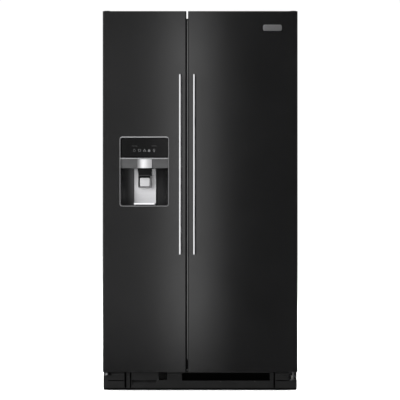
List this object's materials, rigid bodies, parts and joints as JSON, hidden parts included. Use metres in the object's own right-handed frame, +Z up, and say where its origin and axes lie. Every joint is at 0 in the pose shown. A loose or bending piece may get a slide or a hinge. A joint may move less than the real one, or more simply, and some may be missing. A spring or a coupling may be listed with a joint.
{
  "type": "side by side refrigerator",
  "caption": "Tall side by side refrigerator with freezer and fridge doors, slim bar handles, an ice and water dispenser, drawers, door bins and a vented kick plate.",
  "frame": {"origin": "on the floor, at the centre of the outline seen from above", "axes": "+X to the right when facing the doors, +Y back towards the wall, +Z up"},
  "size_m": [0.908, 0.857, 1.778],
  "materials": {
    "door_black": "satin-gloss black enamel",
    "cabinet_black": "textured satin black enamel",
    "galvanised": "galvanised sheet",
    "dark_steel": "black lacquer",
    "black_plastic": "fine-grained black moulding",
    "gloss_black": "glossy black moulding",
    "satin_silver": "satin brushed",
    "silver_plastic": "silver paint on plastic",
    "grey_plastic": "grey moulding",
    "white_liner": "white thermoformed liner",
    "white_nylon": "white nylon",
    "seal_rubber": "soft black vinyl",
    "foam": "rigid insulating foam",
    "clear_bin": "clear moulding",
    "shelf_glass": "tempered glass in a white rim",
    "coil_metal": "bare tube and fins",
    "wheel_plastic": "hard black wheel",
    "zinc": "zinc plate",
    "filter_plastic": "white cartridge with a black grip plate"
  },
  "bodies": {
    "cabinet": {"cabinet_shell": "cabinet_black", "cabinet_insulation": "foam", "front_frame": "cabinet_black", "rear_panel": "galvanised", "machine_cover": "cabinet_black", "freezer_liner": "white_liner", "fridge_liner": "white_liner", "base_frame": "galvanised", "compressor": "dark_steel", "refrigerant_coils": "coil_metal", "water_valve": "white_nylon", "base_grille": "black_plastic", "hinge_brackets": "dark_steel", "hinge_cams": "white_nylon", "hinge_covers": "black_plastic", "hinge_screws": "zinc", "freezer_shelves": "shelf_glass", "fridge_shelves": "shelf_glass", "ice_maker": "white_nylon", "evaporator_cover": "white_liner", "control_housing": "white_liner"},
    "freezer_door": {"freezer_door_skin": "door_black", "freezer_door_core": "foam", "freezer_door_liner": "white_liner", "freezer_door_gasket": "seal_rubber", "freezer_door_caps": "black_plastic", "freezer_handle": "satin_silver", "freezer_door_bins": "clear_bin", "dispenser_frame": "silver_plastic", "dispenser_panel": "gloss_black", "dispenser_brow": "grey_plastic", "dispenser_housing": "gloss_black", "dispenser_insert": "silver_plastic", "drip_tray": "silver_plastic", "ice_chute": "black_plastic"},
    "fridge_door": {"fridge_door_skin": "door_black", "fridge_door_core": "foam", "fridge_door_liner": "white_liner", "fridge_door_gasket": "seal_rubber", "fridge_door_caps": "black_plastic", "fridge_handle": "satin_silver", "badge_plate": "satin_silver", "fridge_door_bins": "clear_bin"},
    "dairy_lid": {"dairy_lid": "clear_bin"},
    "dispenser_paddle": {"dispenser_paddle": "silver_plastic"},
    "chute_flap": {"chute_flap": "black_plastic"},
    "crisper_upper": {"crisper_upper": "clear_bin"},
    "crisper_lower": {"crisper_lower": "clear_bin"},
    "freezer_basket_upper": {"freezer_basket_upper": "clear_bin"},
    "freezer_basket_lower": {"freezer_basket_lower": "clear_bin"},
    "ice_bin": {"ice_bin": "white_nylon"},
    "ice_auger": {"ice_auger": "coil_metal"},
    "evaporator_fan": {"evaporator_fan": "wheel_plastic"},
    "condenser_fan": {"condenser_fan": "wheel_plastic"},
    "water_filter": {"water_filter": "filter_plastic"},
    "filter_button": {"filter_button": "black_plastic"},
    "rear_rollers": {"rear_rollers": "wheel_plastic"},
    "front_rollers": {"front_rollers": "wheel_plastic"},
    "leveling_foot_left": {"leveling_foot_left": "zinc"},
    "leveling_foot_right": {"leveling_foot_right": "zinc"}
  },
  "joints": [
    {"name": "freezer_door_hinge", "type": "hinge", "parent": "cabinet", "child": "freezer_door", "pos_m": [-0.435, -0.3385, 0.93], "axis": [0, 0, -1], "range_deg": [0, 125]},
    {"name": "fridge_door_hinge", "type": "hinge", "parent": "cabinet", "child": "fridge_door", "pos_m": [0.435, -0.3385, 0.93], "axis": [0, 0, 1], "range_deg": [0, 125]},
    {"name": "freezer_basket_upper_slide", "type": "slide", "parent": "cabinet", "child": "freezer_basket_upper", "axis": [0, -1, 0], "range_m": [0, 0.26]},
    {"name": "freezer_basket_lower_slide", "type": "slide", "parent": "cabinet", "child": "freezer_basket_lower", "axis": [0, -1, 0], "range_m": [0, 0.26]},
    {"name": "ice_bin_slide", "type": "slide", "parent": "cabinet", "child": "ice_bin", "axis": [0, -1, 0], "range_m": [0, 0.3]},
    {"name": "crisper_upper_slide", "type": "slide", "parent": "cabinet", "child": "crisper_upper", "axis": [0, -1, 0], "range_m": [0, 0.26]},
    {"name": "crisper_lower_slide", "type": "slide", "parent": "cabinet", "child": "crisper_lower", "axis": [0, -1, 0], "range_m": [0, 0.26]},
    {"name": "dairy_lid_hinge", "type": "hinge", "parent": "fridge_door", "child": "dairy_lid", "pos_m": [0.187, -0.301, 1.544], "axis": [1, 0, 0], "range_deg": [0, 85]},
    {"name": "dispenser_paddle_hinge", "type": "hinge", "parent": "freezer_door", "child": "dispenser_paddle", "pos_m": [-0.26, -0.305, 1], "axis": [1, 0, 0], "range_deg": [0, 12], "stiffness_Nm_per_rad": 0.1},
    {"name": "chute_flap_hinge", "type": "hinge", "parent": "freezer_door", "child": "chute_flap", "pos_m": [-0.26, -0.3035, 1.095], "axis": [-1, 0, 0], "range_deg": [0, 60]},
    {"name": "ice_auger_spin", "type": "hinge", "parent": "ice_bin", "child": "ice_auger", "pos_m": [-0.235, 0, 1.358], "axis": [0, 1, 0], "continuous": true},
    {"name": "evaporator_fan_spin", "type": "hinge", "parent": "cabinet", "child": "evaporator_fan", "pos_m": [-0.2427, 0.322, 1], "axis": [0, 1, 0], "continuous": true},
    {"name": "condenser_fan_spin", "type": "hinge", "parent": "cabinet", "child": "condenser_fan", "pos_m": [-0.02, 0.31, 0.13], "axis": [1, 0, 0], "continuous": true},
    {"name": "water_filter_slide", "type": "slide", "parent": "cabinet", "child": "water_filter", "axis": [0, -1, 0], "range_m": [0, 0.24]},
    {"name": "filter_button_push", "type": "slide", "parent": "cabinet", "child": "filter_button", "axis": [0, 1, 0], "range_m": [0, 0.005], "stiffness_N_per_m": 400},
    {"name": "rear_roller_spin", "type": "hinge", "parent": "cabinet", "child": "rear_rollers", "pos_m": [0, 0.36, 0.022], "axis": [1, 0, 0], "continuous": true},
    {"name": "front_roller_spin", "type": "hinge", "parent": "cabinet", "child": "front_rollers", "pos_m": [0, -0.235, 0.025], "axis": [1, 0, 0], "continuous": true},
    {"name": "leveling_foot_left_screw", "type": "slide", "parent": "cabinet", "child": "leveling_foot_left", "axis": [0, 0, -1], "range_m": [-0.005, 0.012]},
    {"name": "leveling_foot_right_screw", "type": "slide", "parent": "cabinet", "child": "leveling_foot_right", "axis": [0, 0, -1], "range_m": [-0.005, 0.012]}
  ],
  "couplings": [
    {"joint": "freezer_basket_upper_slide", "follows": "freezer_door_hinge", "m_per_rad": 0.11917},
    {"joint": "freezer_basket_lower_slide", "follows": "freezer_door_hinge", "m_per_rad": 0.11917},
    {"joint": "ice_bin_slide", "follows": "freezer_door_hinge", "m_per_rad": 0.13745},
    {"joint": "crisper_upper_slide", "follows": "fridge_door_hinge", "m_per_rad": 0.11917},
    {"joint": "crisper_lower_slide", "follows": "fridge_door_hinge", "m_per_rad": 0.11917},
    {"joint": "chute_flap_hinge", "follows": "dispenser_paddle_hinge", "ratio": 5}
  ]
}
